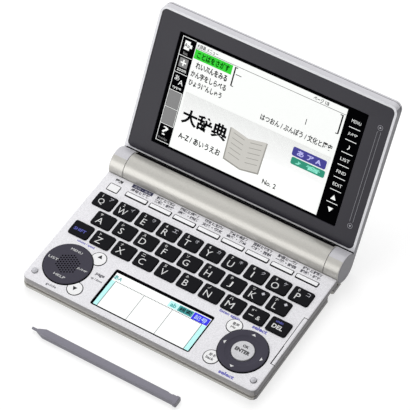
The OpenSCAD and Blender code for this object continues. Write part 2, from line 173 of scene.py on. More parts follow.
def litScreen(name, colour, glow=0.82, tilt=0.0, fade=None):
    lit = Finish(name, {"Emission Strength": glow, "Coat Weight": 0.1 if glow else 0.0,
                        "Coat Roughness": 0.05, "Roughness": 0.3, "Specular IOR Level": 0.12 if glow else 0.0})
    up = (0, math.cos(tilt), math.sin(tilt))
    pixelPitch = 0.27 * mm
    gaps = [lit.math("FRACT", lit.along(way) * (1 / pixelPitch)) < 0.14 for way in ((1, 0, 0), up)]
    mask = lit.math("MAXIMUM", *gaps)
    if fade:  # from the colour at one height to white at another
        low, high = fade
        share = lit.node("MapRange", None, {"Value": lit.along(up), "From Min": low, "From Max": high})
        colour = lit.mix(share, (0.93, 0.93, 0.93), colour)
        dots = lit.mix(mask * 0.08, colour, (0.0, 0.0, 0.0))
    else:
        dots = lit.mix(mask, colour, tuple(0.9 * c for c in colour))
    surface = lit.mix(0.65, dots, (0.0, 0.0, 0.0)) if glow else dots
    return lit.set({"Base Color": surface, "Emission Color": dots})


def linked(name, data):  # a new object in the scene
    made = bpy.data.objects.new(name, data)
    bpy.context.scene.collection.objects.link(made)
    return made


# building meshes, in millimetres of the base's or the lid's own frame

def corners(low, high):
    return [(low[0], low[1]), (high[0], low[1]), (high[0], high[1]), (low[0], high[1])]


def arc(centre, radius, start, end, steps, z=0.0):
    turns = [start + (end - start) * i / steps for i in range(steps + 1)]
    return [Vector((centre[0] + radius * math.cos(t), centre[1] + radius * math.sin(t), z)) for t in turns]


def roundedRing(width, depth, radius, z, centre=(0, 0), steps=6):
    points = []
    for quarter, (sx, sy) in enumerate(((1, 1), (-1, 1), (-1, -1), (1, -1))):
        corner = (centre[0] + sx * (width / 2 - radius), centre[1] + sy * (depth / 2 - radius))
        start = quarter * math.pi / 2
        points += arc(corner, radius, start, start + math.pi / 2, steps, z)
    return points


def circleRing(radius, z, centre=(0, 0), count=64):
    return arc(centre, radius, 0, 2 * math.pi, count, z)[:-1]


def edgeProfile(top, radius, steps=4):  # inset and height of a rounded top edge, from the wall upwards
    turns = [math.pi / 2 * i / steps for i in range(steps + 1)]
    return [(radius * (1 - math.cos(t)), top - radius * (1 - math.sin(t))) for t in turns]


def lettering(words, weight, depth=0.02):  # a flat text as a closed mesh, one unit high
    curve = bpy.data.curves.new("lettering", "FONT")
    curve.body = words
    curve.resolution_u = 3
    curve.offset = weight
    curve.extrude = depth
    holder = linked("lettering", curve)
    bpy.context.view_layer.update()
    mesh = bpy.data.meshes.new_from_object(holder.evaluated_get(bpy.context.evaluated_depsgraph_get()))
    bpy.data.objects.remove(holder)
    bpy.data.curves.remove(curve)
    return mesh


class Build:  # one piece as it grows, shape by shape
    inkDepth = 0.02

    def __init__(self):
        self.mesh = bmesh.new()

    def stack(self, rings, finish=0, joined=False, wall=None):
        loops = [[self.mesh.verts.new(point) for point in ring] for ring in rings]
        pairs = list(zip(loops, loops[1:])) + ([(loops[-1], loops[0])] if joined else [])
        faces = [self.mesh.faces.new((low[i - 1], low[i], high[i], high[i - 1]))
                 for low, high in pairs for i in range(len(low))]
        if not joined:
            faces += [self.mesh.faces.new(reversed(loops[0])), self.mesh.faces.new(loops[-1])]
        for face in faces:
            face.material_index = finish
        if wall is not None:  # the wall between the first two rings has its own finish
            for face in faces[:len(loops[0])]:
                face.material_index = wall
        return loops

    def slab(self, outline, low, high, finish=0):
        rings = [[Vector((p[0], p[1], z)) for p in outline] for z in (low, high)]
        return self.stack(rings, finish)

    def bar(self, low, high, z, finish=0, depth=0.02):  # a printed rectangle between two corners
        return self.slab(corners(low, high), z - depth, z, finish)

    def line(self, start, end, width, z, finish=0, depth=0.02):
        start, end = Vector(start).to_2d(), Vector(end).to_2d()
        side = (end - start).orthogonal().normalized() * width / 2
        return self.slab([start - side, end - side, end + side, start + side], z - depth, z, finish)

    def frameOf(self, outer, inner, low, high, finish=0):  # a flat ring between two outlines
        rings = [(outer, low), (outer, high), (inner, high), (inner, low)]
        loops = [[Vector((p[0], p[1], z)) for p in ring] for ring, z in rings]
        return self.stack(loops, finish, joined=True)

    def text(self, words, centre, height, z, finish=0, width=None, weight=0.0):
        mesh = lettering(words, weight)
        low = Vector([min(v.co[i] for v in mesh.vertices) for i in range(3)])
        high = Vector([max(v.co[i] for v in mesh.vertices) for i in range(3)])
        size = high - low
        tall = height / size.y
        wide = width / size.x if width else tall
        scale = Matrix.Diagonal((wide, tall, self.inkDepth / size.z, 1))
        middle = (low + high) / 2
        seat = Matrix.Translation((*centre, z - self.inkDepth / 2))
        mesh.transform(seat @ scale @ Matrix.Translation(-middle))
        known = len(self.mesh.faces)
        self.mesh.from_mesh(mesh)
        self.mesh.faces.ensure_lookup_table()
        for face in self.mesh.faces[known:]:
            face.material_index = finish
        bpy.data.meshes.remove(mesh)

    def legends(self, rows, place, z):  # each row: words, x, y, height, finish, and if set width and weight
        for words, x, y, height, *more in rows:
            self.text(words, (place[0] + x, place[1] + y), height, z, *more)

    def make(self, name, finishes):
        bmesh.ops.recalc_face_normals(self.mesh, faces=self.mesh.faces)
        mesh = bpy.data.meshes.new(name)
        self.mesh.to_mesh(mesh)
        self.mesh.free()
        for finish in finishes:
            mesh.materials.append(finish)
        return linked(name, mesh)


def baked(piece):  # the piece with its modifiers worked into its mesh
    mesh = bpy.data.meshes.new_from_object(piece.evaluated_get(bpy.context.evaluated_depsgraph_get()))
    piece.modifiers.clear()
    piece.data = mesh
    return piece


def carve(piece, *cutters):
    for cutter in cutters:
        cut = piece.modifiers.new("cut", "BOOLEAN")
        cut.operation = "DIFFERENCE"
        cut.solver = "EXACT"
        cut.material_mode = "TRANSFER"  # a cutter with a finish gives it to the walls that it cuts
        cut.object = cutter
    bpy.context.view_layer.update()
    baked(piece)
    for cutter in cutters:
        bpy.data.objects.remove(cutter)
    return piece


def boxCutter(low, high, bottom, top, *finishes):
    cutter = Build()
    cutter.slab(corners(low, high), bottom, top)
    return cutter.make("cutter", finishes)


def smooth(piece, angle=32):  # smooth shading that keeps its sharp edges and flat faces
    shape = bmesh.new()
    shape.from_mesh(piece.data)
    limit = math.radians(angle)
    for edge in shape.edges:
        edge.smooth = len(edge.link_faces) == 2 and edge.calc_face_angle(0) < limit
    for face in shape.faces:
        face.smooth = True
    shape.to_mesh(piece.data)
    shape.free()
    weights = piece.modifiers.new("weighted normals", "WEIGHTED_NORMAL")
    weights.keep_sharp = True
    return piece


def settle(piece, body, slot, *nodes, where=baseFrame, angle=32):  # puts a finished piece in its place
    piece.data.transform(where)
    smooth(piece, angle)
    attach(piece, body)
    if nodes:
        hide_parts(*nodes)
    return piece


def softened(node, name, width, finishes):  # a copy of a node with its edges rounded
    shape = bmesh.new()
    shape.from_mesh(frame["nodes"][node].data)
    bmesh.ops.remove_doubles(shape, verts=shape.verts, dist=0.002 * mm)
    bmesh.ops.dissolve_limit(shape, angle_limit=math.radians(0.4), verts=shape.verts, edges=shape.edges)
    for face in shape.faces:
        face.material_index = 0
    mesh = bpy.data.meshes.new(name)
    shape.to_mesh(mesh)
    shape.free()
    for finish in finishes:
        mesh.materials.append(finish)
    piece = linked(name, mesh)
    edges = piece.modifiers.new("edges", "BEVEL")
    edges.width = width * mm
    edges.segments = 3
    edges.angle_limit = math.radians(38)
    bpy.context.view_layer.update()
    return baked(piece)


# repeats, made with geometry nodes

def repeatTree(name, inputs):
    tree = bpy.data.node_groups.new(name, "GeometryNodeTree")
    tree.interface.new_socket("Geometry", in_out="INPUT", socket_type="NodeSocketGeometry")
    for label, kind in inputs.items():
        tree.interface.new_socket(label, in_out="INPUT", socket_type="NodeSocket" + kind)
    tree.interface.new_socket("Geometry", in_out="OUTPUT", socket_type="NodeSocketGeometry")
    return tree, tree.nodes.new("NodeGroupInput").outputs, tree.nodes.new("NodeGroupOutput").inputs[0]


def treeNode(tree, kind, sockets, settings=None):
    made = tree.nodes.new(kind)
    for name, value in (settings or {}).items():
        setattr(made, name, value)
    for name, value in sockets.items():
        if isinstance(value, bpy.types.NodeSocket):
            tree.links.new(value, made.inputs[name])
        else:
            made.inputs[name].default_value = value
    return made.outputs


def placeCopies(tree, given, result, points, part):
    placed = treeNode(tree, "GeometryNodeInstanceOnPoints", {"Points": points, "Instance": part})[0]
    whole = treeNode(tree, "GeometryNodeRealizeInstances", {"Geometry": placed})[0]
    coated = treeNode(tree, "GeometryNodeSetMaterial", {"Geometry": whole, "Material": given["Material"]})[0]
    tree.links.new(coated, result)
    return tree


def copiesTree():  # a part on every point of a mesh
    tree, given, result = repeatTree("copies on points", {"Part": "Object", "Material": "Material"})
    part = treeNode(tree, "GeometryNodeObjectInfo",
                    {"Object": given["Part"], "As Instance": True})["Geometry"]
    return placeCopies(tree, given, result, given["Geometry"], part)


def perforationTree():  # round pins on a staggered grid, inside a circle
    inputs = {"Pitch": "Float", "Count": "Int", "Field Radius": "Float", "Hole Radius": "Float",
              "Depth": "Float", "Material": "Material"}
    tree, given, result = repeatTree("perforations", inputs)

    def maths(operation, first, second=0.0):
        return treeNode(tree, "ShaderNodeMath", {0: first, 1: second}, {"operation": operation})[0]
    steps = maths("SUBTRACT", given["Count"], 1.0)
    rowPitch = maths("MULTIPLY", given["Pitch"], math.sqrt(0.75))
    grid = treeNode(tree, "GeometryNodeMeshGrid",
                    {"Size X": maths("MULTIPLY", steps, given["Pitch"]),
                     "Size Y": maths("MULTIPLY", steps, rowPitch),
                     "Vertices X": given["Count"], "Vertices Y": given["Count"]})[0]
    where = treeNode(tree, "GeometryNodeInputPosition", {})[0]
    row = maths("ROUND", maths("DIVIDE", treeNode(tree, "ShaderNodeSeparateXYZ", {0: where})["Y"], rowPitch))
    odd = maths("MULTIPLY", maths("FLOORED_MODULO", row, 2.0), 0.5)
    shift = treeNode(tree, "ShaderNodeCombineXYZ", {"X": maths("MULTIPLY", odd, given["Pitch"])})[0]
    staggered = treeNode(tree, "GeometryNodeSetPosition", {"Geometry": grid, "Offset": shift})[0]
    reach = treeNode(tree, "ShaderNodeVectorMath", {0: where}, {"operation": "LENGTH"})["Value"]
    outside = treeNode(tree, "FunctionNodeCompare", {0: reach, 1: given["Field Radius"]},
                       {"data_type": "FLOAT", "operation": "GREATER_THAN"})[0]
    kept = treeNode(tree, "GeometryNodeDeleteGeometry", {"Geometry": staggered, "Selection": outside})[0]
    pin = treeNode(tree, "GeometryNodeMeshCylinder",
                   {"Vertices": 14, "Radius": given["Hole Radius"], "Depth": given["Depth"]})[0]
    return placeCopies(tree, given, result, kept, pin)


def grown(piece, tree, values):  # runs a tree on a piece and keeps the mesh that it makes
    nodes = piece.modifiers.new("nodes", "NODES")
    nodes.node_group = tree
    for item in tree.interface.items_tree:
        if item.in_out == "INPUT" and item.name in values:
            nodes[item.identifier] = values[item.name]
    bpy.context.view_layer.update()
    return baked(piece)


def pointsMesh(name, points):
    mesh = bpy.data.meshes.new(name)
    mesh.from_pydata(points, [], [])
    return linked(name, mesh)


def copies(name, part, points, finish):
    holder = grown(pointsMesh(name, points), copiesTree(), {"Part": part, "Material": finish})
    bpy.data.objects.remove(part)
    return holder


print("tools ready")

# camera, from a fit to the photograph: angles in degrees, lengths in millimetres
camera = {"azimuth": 35.583, "elevation": 51.611, "roll": -3.873, "distance": 1288.546,
          "aimY": 50.0, "slideRight": 9.51, "slideUp": 39.635, "focal": 2380.8, "pixels": 410}


def makeCamera():
    azimuth, elevation, roll = (math.radians(camera[key]) for key in ("azimuth", "elevation", "roll"))
    back = Vector((math.sin(azimuth) * math.cos(elevation), -math.cos(azimuth) * math.cos(elevation),
                   math.sin(elevation)))
    level = Vector((0, 0, 1)).cross(back).normalized()
    across = (level * math.cos(roll) + back.cross(level) * math.sin(roll))
    upward = back.cross(across)
    spot = Vector((0, camera["aimY"], 0)) + across * camera["slideRight"] + upward * camera["slideUp"]
    spot += back * camera["distance"]
    eye = linked("camera", bpy.data.cameras.new("camera"))
    eye.data.sensor_width = 36
    eye.data.lens = camera["focal"] / camera["pixels"] * eye.data.sensor_width
    turned = Matrix((across, upward, back)).transposed().to_4x4()
    eye.matrix_world = Matrix.Translation(baseFrame @ spot) @ turned
    bpy.context.scene.camera = eye


# studio: areas in metres, power in watts
studio = {"floorSize": 8.0, "world": 0.24, "floorColour": 0.4, "floorGlow": 0.7,
          "lamps": {"top": {"at": (-0.3, 0.5, 1.0), "size": 1.0, "power": 11.6, "mirrored": False},
                    "frontLeft": {"at": (-0.62, -0.85, 0.34), "size": 0.9, "power": 5.2, "mirrored": True}}}


def makeStudio():
    scene = bpy.context.scene
    scene.view_settings.view_transform = "Standard"
    world = bpy.data.worlds.new("studio")
    scene.world = world
    world.use_nodes = True
    tree = world.node_tree
    rays = treeNode(tree, "ShaderNodeLightPath", {})
    seen = rays["Is Camera Ray"]
    for ray in ("Is Glossy Ray", "Is Transmission Ray"):
        seen = treeNode(tree, "ShaderNodeMath", {0: seen, 1: rays[ray]}, {"operation": "MAXIMUM"})[0]
    strength = treeNode(tree, "ShaderNodeMapRange",
                        {"Value": seen, "To Min": studio["world"], "To Max": 1.0})[0]
    background = tree.nodes["Background"].inputs
    tree.links.new(strength, background["Strength"])
    background["Color"].default_value = (1, 1, 1, 1)
    for name, lamp in studio["lamps"].items():
        light = bpy.data.lights.new(name, "AREA")
        light.size = lamp["size"]
        light.energy = lamp["power"]
        stand = linked(name, light)
        stand.location = lamp["at"]
        stand.visible_glossy = lamp["mirrored"]
        stand.rotation_euler = (-Vector(lamp["at"])).to_track_quat("-Z", "Y").to_euler()
    half = studio["floorSize"] / 2
    mesh = bpy.data.meshes.new("floor")
    mesh.from_pydata([(*spot, 0) for spot in corners((-half, -half), (half, half))], [], [(0, 1, 2, 3)])
    floor = linked("floor", mesh)
    paper = Finish("floor paper", {"Roughness": 0.9, "Specular IOR Level": 0.1,
                                    "Emission Strength": studio["floorGlow"]})
    rays = [paper.node("LightPath", output=ray)
            for ray in ("Is Camera Ray", "Is Glossy Ray", "Is Transmission Ray")]
    seen = paper.math("MAXIMUM", paper.math("MAXIMUM", rays[0], rays[1]), rays[2])
    mesh.materials.append(paper.set({"Base Color": (studio["floorColour"],) * 3,
                                     "Emission Color": paper.mix(seen, (0, 0, 0), (1, 1, 1))}))


makeCamera()
makeStudio()
print("camera and studio ready")

# finishes
panelPaint = metallicPaint("panel paint", shade(232, 231, 235), metallic=0.08, roughness=0.42, sparkle=0.16)
# flank paint: a darker grey than the panel paint for the panel's outer walls, painted shade
flankShadePaint = metallicPaint("flank painted shade", shade(150, 148, 150), metallic=0.3, roughness=0.4, sparkle=0.08,
                           lower=shade(172, 169, 165))
lidPaint = metallicPaint("lid paint", shade(203, 202, 207), metallic=0.15, roughness=0.4, sparkle=0.07)
# lid flank paint: a darker copy of the lid paint for the lid's left and right sides, painted shade
lidFlankShade = metallicPaint("lid flank painted shade", shade(126, 125, 131),
                         metallic=0.3, roughness=0.42, sparkle=0.07)
# lid rim paint: a brighter paint on the rim's front faces, a painted highlight
lidRimHighlight = metallicPaint("lid rim painted highlight", shade(236, 236, 240), metallic=0.1, roughness=0.38, sparkle=0.05)
casePaint = metallicPaint("case paint", shade(194, 192, 186), metallic=0.42, roughness=0.32, sparkle=0.07)
# case flank paint: a darker copy of the case paint for walls facing left and right, painted shade
caseFlankShade = metallicPaint("case flank painted shade", shade(112, 110, 112),
                          metallic=0.35, roughness=0.4, sparkle=0.07)
bezelPlastic = mouldedPlastic("bezel plastic", shade(43, 41, 50),
                              0.34, grainSize=0.25, depth=0.006, gloss=0.25)
blackKey = mouldedPlastic("black key plastic", shade(25, 25, 28), 0.6, grainSize=0.3, gloss=0.05)
# hole wall plastic: near black for the walls of holes, gaps and grooves and the sides of slim and round keys,
# painted shade
holeWallShade = mouldedPlastic("hole wall painted shade", shade(22, 21, 25), 0.7, gloss=0.05)
whiteInk = printedInk("white ink", shade(235, 235, 235))
blueInk = printedInk("blue ink", shade(96, 100, 190))
greyInk = printedInk("grey ink", shade(40, 38, 52))
violetInk = printedInk("violet ink", shade(104, 102, 190))
paleInk = printedInk("pale ink", shade(206, 206, 214))
darkInk = printedInk("dark ink", shade(28, 28, 32))
navyInk = printedInk("navy ink", shade(40, 40, 72))
discPlastic = mouldedPlastic("disc plastic", shade(66, 64, 75),
                             0.42, grainSize=0.22, depth=0.01, gloss=0.12)
whiteKey = mouldedPlastic("white key plastic", shade(250, 250, 252), 0.45, depth=0.006)
silverKey = metallicPaint("silver key paint", shade(248, 248, 251),
                          metallic=0.05, roughness=0.4, sparkle=0.05)
enterPaint = metallicPaint("enter key paint", shade(204, 204, 207), metallic=0.15, roughness=0.4)
shadowPlastic = mouldedPlastic("shadow plastic", shade(14, 14, 16), 0.8, gloss=0.05)
penPlastic = mouldedPlastic("pen plastic", shade(128, 126, 137), 0.4, grainSize=0.5, depth=0.01, coat=0.15)
padRubber = mouldedPlastic("pad rubber", shade(150, 150, 156), 0.6)
bumperRubber = mouldedPlastic("bumper rubber", shade(208, 208, 213), 0.5)
steel = metallicPaint("zinc plated steel", shade(170, 172, 176),
                      metallic=0.95, roughness=0.3, flake=0.4, sparkle=0.06)
print("finishes ready")

# keys: sizes and places in millimetres of the base's frame
keys = {"low": 8.45, "panel": 9.5, "gap": 0.3, "letterTop": 10.6, "slimTop": 9.75, "edge": 0.1,
        "letterSize": (12.1, 9.3, 1.2), "pitch": 14.03, "rowStarts": (-63.2, -56.2, -63.2),
        "rowPlaces": (65.0, 53.49, 41.98), "slimSize": (13.1, 2.3, 0.35), "slimStart": (-49.75, 76.15),
        "slimPitch": 15.67, "slimCount": 8, "powerSize": (6.5, 4.6, 0.35), "powerPlace": (-64.45, 75.5),
        "disc": (-56.4, 19.05), "ring": (55.0, 19.15), "hubRadius": 13.5, "roundRadius": 4.2,
        "reach": 3.38, "turn": 42.72, "enterRadius": 6.25, "draft": 0.1}
rows = (("q", "w", "e", "r", "t", "y", "u", "i", "o", "p"),
        ("a", "s", "d", "f", "g", "h", "j", "k", "l"),
        ("shift", "z", "x", "c", "v", "b", "n", "m", "symbol", "delete"))
smallMarks = ("1234567890", "サシスセソタチツテ", " トナニヌネノハ  ")
cornerMarks = ("アイウエオカキクケコ", "       ◆◆", "          ")
specialMarks = {"shift": [("SHIFT", -0.3, -0.8, 2.0, 2, 7.6, 0.02)],
                "delete": [("undo", -0.7, 2.4, 1.6, 2, 4.4, 0.015), ("DEL", -0.2, -1.0, 2.7, 1, 6.4, 0.025)],
                "symbol": [("—", -2.4, -1.4, 0.5, 1, 2.8), ("&", 2.0, -1.4, 2.6, 1),
                           ("# *", -2.5, 2.1, 1.6, 1)]}
discMarks = [("MENU", -0.5, 9.5, 1.5, 0, 7.2), ("LIST", -9.0, -0.6, 1.5, 0, 6.2),
             ("JUMP", 9.1, 0.2, 1.5, 0, 6.2), ("HELP", 0.6, -9.0, 1.5, 0, 7.2)]
letterWidths = {"i": 0.7, "j": 2.4, "w": 5.3, "m": 4.5}


def letterPlace(row, column):
    return keys["rowStarts"][row] + column * keys["pitch"], keys["rowPlaces"][row]


def keyRings(outline, top, edge):  # outline(grow, z) gives one ring
    profile = [(0, keys["low"])] + edgeProfile(top, edge)
    return [outline(-inset, z) for inset, z in profile]


def boxOutline(size, centre):
    width, depth, radius = size
    return lambda grow, z: roundedRing(width + 2 * grow, depth + 2 * grow, radius + grow, z, centre)


def besideHub(hub, turn):  # centre of a round key beside the disc or ring
    far = keys["hubRadius"] + keys["reach"]
    return hub[0] + far * math.cos(turn), hub[1] + far * math.sin(turn)


def hubAngles(small, big):  # where the circle of a round key crosses that of its disc or ring
    far = keys["hubRadius"] + keys["reach"]
    atHub = math.acos((far ** 2 + big ** 2 - small ** 2) / (2 * far * big))
    atKey = math.pi - math.acos((far ** 2 + small ** 2 - big ** 2) / (2 * far * small))
    return atHub, atKey


def roundOutline(hub, turn):  # a round key whose hub side is cut by the disc or ring
    centre = besideHub(hub, turn)

    def outline(grow, z):
        small = keys["roundRadius"] + grow
        big = keys["hubRadius"] + 2 * keys["gap"] - grow
        atHub, atKey = hubAngles(small, big)
        return (arc(centre, small, turn - atKey, turn + atKey, 28, z)
                + arc(hub, big, turn + atHub, turn - atHub, 12, z)[1:-1])
    return outline, centre


def makeLetterKeys():
    for row, names in enumerate(rows):
        for column, name in enumerate(names):
            x, y = letterPlace(row, column)
            key = Build()
            outline = boxOutline(keys["letterSize"], (x, y))
            sides = [(0, keys["low"]), (0, keys["panel"])]
            edges = [(inset + keys["draft"], z) for inset, z in edgeProfile(keys["letterTop"], 0.2)]
            key.stack([outline(-inset, z) for inset, z in sides + edges])
            top = keys["letterTop"] + 0.015
            if name in specialMarks:
                key.legends(specialMarks[name], (x, y), top)
            else:
                width = letterWidths.get(name)
                key.text(name.upper(), (x - 1.6, y - 1.4), 4.1, top, 1, width=width, weight=-0.004)
                if smallMarks[row][column] != " ":
                    key.text(smallMarks[row][column], (x - 2.8, y + 2.6), 1.7, top, 1, weight=0.01)
                if cornerMarks[row][column] != " ":
                    key.text(cornerMarks[row][column], (x + 3.1, y + 2.1), 2.2, top, 3, weight=0.0)
            made = key.make(name + "Key", [blackKey, whiteInk, blueInk, paleInk])
            settle(made, name + "_key", "black_key", name + "_key")


def makeSlimKeys():
    for i in range(keys["slimCount"]):
        centre = (keys["slimStart"][0] + i * keys["slimPitch"], keys["slimStart"][1])
        key = Build()
        # each slim key's side wall is near black, painted shade
        key.stack(keyRings(boxOutline(keys["slimSize"], centre), keys["slimTop"], keys["edge"]), wall=1)
        node = f"function_key_{i + 1}"
        settle(key.make(f"functionKey{i + 1}", [silverKey, holeWallShade]), node, "silver_key", node)
    key = Build()
    outline = boxOutline(keys["powerSize"], keys["powerPlace"])
    # the power key's side wall is near black, painted shade
    key.stack(keyRings(outline, keys["slimTop"], keys["edge"]), wall=1)
    settle(key.make("powerKey", [whiteKey, holeWallShade]), "power_key", "white_key", "power_key")


def makeRoundKeys():
    turn = math.radians(keys["turn"])
    places = {"page_up_key": (keys["disc"], turn, [("▲", 0.2, 1.8, 2.4)]),
              "page_down_key": (keys["disc"], -turn, [("▼", -0.2, -0.3, 2.4)]),
              "voice_key": (keys["ring"], math.pi - turn, [("音声", 0.2, 1.3, 2.0), ("play", -0.1, -1.0, 1.8)]),
              "back_key": (keys["ring"], turn - math.pi, [("戻る", 0.0, 1.3, 2.0), ("back", -0.2, -1.1, 1.8)])}
    for node, (hub, angle, marks) in places.items():
        outline, centre = roundOutline(hub, angle)
        key = Build()
        # each round key's side wall is near black, painted shade
        key.stack(keyRings(outline, keys["slimTop"], keys["edge"]), wall=2)
        for mark, dx, dy, height in marks:
            key.text(mark, (centre[0] + dx, centre[1] + dy), height, keys["slimTop"] + 0.015, 1, weight=0.02)
        settle(key.make(node.replace("_", " ").title().replace(" ", ""), [whiteKey, darkInk, holeWallShade]),
               node, "white_key", node)


def hubStack(hub, profile, count=96):
    return [circleRing(radius, z, hub, count) for radius, z in profile]


def makeDisc():
    hub, radius, top = keys["disc"], keys["hubRadius"], keys["panel"] + 0.8
    disc = Build()
    rim = [(radius - inset, z) for inset, z in edgeProfile(top, 0.35)]
    profile = [(radius, keys["low"])] + rim + [(radius - 1.2, top), (7.4, top - 0.12)]
    disc.stack(hubStack(hub, profile), wall=1)
    made = disc.make("speakerDisc", [discPlastic, shadowPlastic])
    pins = grown(pointsMesh("pins", [(0, 0, 0)]), perforationTree(),
                 {"Pitch": 1.6, "Count": 11, "Field Radius": 6.7, "Hole Radius": 0.48, "Depth": 6.0,
                  "Material": shadowPlastic})
    pins.data.transform(Matrix.Translation((*hub, keys["panel"])) @ Matrix.Rotation(math.pi / 6, 4, "Z"))
    carve(made, pins)
    words = Build()
    words.legends(discMarks, hub, top + 0.01)
    printed = words.make("discLegends", [whiteInk])
    settle(made, "speaker_disc", "grey_disc", "speaker_disc")
    settle(printed, "speaker_disc", "grey_disc")


def makeRing():
    hub, radius, panel = keys["ring"], keys["hubRadius"], keys["panel"]
    inner = keys["enterRadius"] + keys["gap"]
    ring = Build()
    outer = [(radius - inset, z) for inset, z in edgeProfile(panel + 0.9, 0.45)]
    dish = [(radius - 1.4, panel + 0.88), (radius - 3.5, panel + 0.8), (radius - 3.7, panel + 0.74),
            (radius - 4.0, panel + 0.52), (inner + 1.6, panel + 0.28), (inner + 0.4, panel + 0.2),
            (inner, panel + 0.05)]
    profile = [(radius, keys["low"])] + outer + dish + [(inner, keys["low"])]
    ring.stack(hubStack(hub, profile), joined=True, wall=2)
    for quarter in range(4):
        turn = quarter * math.pi / 2
        way = Vector((math.cos(turn), math.sin(turn)))
        side = Vector((-way.y, way.x))
        centre = Vector(hub) + way * 11.3
        tip, foot = centre + way * 0.8, centre - way * 0.5
        ring.slab([foot - side * 1.25, tip, foot + side * 1.25], panel + 0.8, panel + 0.93, 1)
    made = ring.make("cursorRing", [discPlastic, whiteInk, shadowPlastic])
    settle(made, "cursor_ring", "grey_disc", "cursor_ring")
    enter = Build()
    top = panel + 0.8
    rim = [(keys["enterRadius"] - inset, z) for inset, z in edgeProfile(top, 0.4)]
    enter.stack(hubStack(hub, [(keys["enterRadius"], keys["low"])] + rim, 64))
    enter.text("ENTER", (hub[0], hub[1] - 0.4), 2.3, top + 0.015, 1, width=8.8, weight=0.045)
    enter.text("OK", (hub[0] + 0.2, hub[1] + 2.9), 1.8, top + 0.015, 1, weight=0.04)
    settle(enter.make("enterKey", [enterPaint, darkInk]), "enter_key", "silver_key", "enter_key")


makeLetterKeys()
makeSlimKeys()
makeRoundKeys()
makeDisc()
makeRing()
print("keys ready")

# keyboard panel and case
case = {"halfWidth": 74.0, "back": 84.15, "corner": 3.5, "parting": 3.8, "plate": 8.0, "wall": 1.6,
        "edge": 0.8, "ridge": 5.0, "rearBlock": 64.95, "rearWall": 81.0,
        "screenSize": (62.5, 26.0, 1.0), "screenCentre": (-0.5, 17.0), "rearRound": 0.1,
        "lip": 0.07, "darkLip": 0.17,
        "bumpers": ((-69.4, 6.5), (69.4, 6.5)), "bumperRadius": 1.75, "flankFrom": 60.0,
        "slimGap": {"right": 0.2, "front": 0.4},
        "channel": ((60, 74.35), (76, 79.95), 1.5, 6.0), "notch": ((71.5, 74.0), (76, 80.3), -1, 4.6),
        "socket": {"y": 64.0, "z": 4.2, "radius": 2.9, "span": (-80, -66)},
        "strip": {"outer": ((71.2, 19.85), (75, 54.35)), "inner": ((71.55, 20.2), (74.7, 54.0)),
                  "nick": ((71.4, 20.0), (71.8, 33.0))}}


def caseRing(inset, z):  # the base's outline, its two front corners round
    half, radius = case["halfWidth"] - inset, case["corner"] - inset
    rear = case["back"] - (min(inset, case["rearRound"]) if inset < case["wall"] else inset)
    tight = 0.25  # radius of the two back corners
    return (arc((half - tight, rear - tight), tight, 0, math.pi / 2, 3, z)
            + arc((tight - half, rear - tight), tight, math.pi / 2, math.pi, 3, z)
            + arc((radius - half, inset + radius), radius, math.pi, 1.5 * math.pi, 12, z)
            + arc((half - radius, inset + radius), radius, 1.5 * math.pi, 2 * math.pi, 12, z))


def hubHole(hub, sides):  # the disc's or ring's hole with those of its round keys
    def outline(grow, z):
        small = keys["roundRadius"] + keys["gap"] + grow
        big = keys["hubRadius"] + 0.4 + grow
        atHub, atKey = hubAngles(small, big)
        points = []
        for i, turn in enumerate(sides):
            following = sides[(i + 1) % len(sides)]
            following += 2 * math.pi if following <= turn else 0
            points += arc(besideHub(hub, turn), small, turn - atKey, turn + atKey, 24, z)
            steps = int((following - turn) * 12)
            points += arc(hub, big, turn + atHub, following - atHub, steps, z)[1:-1]
        return points
    return outline


def panelHoles():  # the letter keys' holes and those with a dark lip of painted shade
    letters = [boxOutline([size + 2 * keys["gap"] for size in keys["letterSize"][:2]]
                          + [keys["letterSize"][2] + keys["gap"]], letterPlace(row, column))
               for row, names in enumerate(rows) for column in range(len(names))]
    holes = []
    # slim keys' holes are wider at the front and the right, so that more painted shade shows there
    right, front = case["slimGap"]["right"], case["slimGap"]["front"]
    for i in range(keys["slimCount"]):
        size = [keys["slimSize"][0] + 0.6 + right, keys["slimSize"][1] + 0.6 + front, 0.65]
        x, y = keys["slimStart"][0] + i * keys["slimPitch"], keys["slimStart"][1]
        holes.append(boxOutline(size, (x + right / 2, y - front / 2)))
    width, depth = (side + 0.6 for side in keys["powerSize"][:2])
    holes.append(boxOutline([width, depth, 0.65], keys["powerPlace"]))
    holes.append(boxOutline(case["screenSize"], case["screenCentre"]))
    turn = math.radians(keys["turn"])
    holes.append(hubHole(keys["disc"], [-turn, turn]))
    holes.append(hubHole(keys["ring"], [math.pi - turn, math.pi + turn]))
    for spot in case["bumpers"]:
        holes.append(lambda grow, z, spot=spot: circleRing(case["bumperRadius"] + grow, z, spot, 24))
    return ([(outline, case["lip"], 0) for outline in letters]
            + [(outline, case["darkLip"], 2) for outline in holes])


def wallBetween(shape, low, high, finish=0):
    for i in range(len(low)):
        shape.faces.new((low[i - 1], low[i], high[i], high[i - 1])).material_index = finish


def fillBetween(shape, outer, holes):  # a flat face with holes, from loops that already stand
    loops = [outer] + holes
    edges = [shape.edges.get((loop[i - 1], loop[i])) or shape.edges.new((loop[i - 1], loop[i]))
             for loop in loops for i in range(len(loop))]
    bmesh.ops.triangle_fill(shape, edges=edges, use_beauty=True, normal=(0, 0, 1))


# barrel: angles in degrees about the hinge, from the rear over the top
barrel = {"centre": (93.25, 9.5), "radius": 8.9, "capColour": 108.0,
          "cap": {"reach": 9.4, "from": 64.5, "to": 73.7},
          "recess": {"start": 38.0, "end": 63.0, "depth": 0.8, "halfLength": 63.9}}


